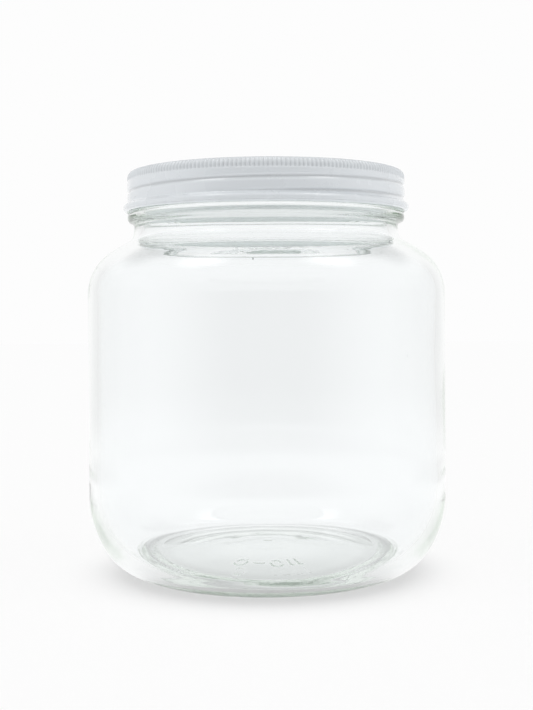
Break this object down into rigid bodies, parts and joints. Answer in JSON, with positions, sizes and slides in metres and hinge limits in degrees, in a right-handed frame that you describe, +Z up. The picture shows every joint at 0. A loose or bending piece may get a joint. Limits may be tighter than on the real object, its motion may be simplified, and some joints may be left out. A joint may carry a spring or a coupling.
{
  "type": "wide-mouth glass storage jar with screw lid",
  "caption": "Clear straight-sided glass storage jar with rounded shoulder and heel, closed by a white metal screw lid.",
  "frame": {"origin": "centre of the jar's base, on the plane of its bearing ring", "axes": "+Z up along the jar's axis; -Y is the front, towards which the row of mould marks on the underside lies"},
  "size_m": [0.1432, 0.1432, 0.1598],
  "materials": {
    "clear_glass": "clear, faintly green in the edge, polished by the fire of its making",
    "white_enamel": "gloss white enamel on tinplate"
  },
  "bodies": {
    "root": {"jar": "clear_glass", "lid": "white_enamel"}
  },
  "joints": []
}
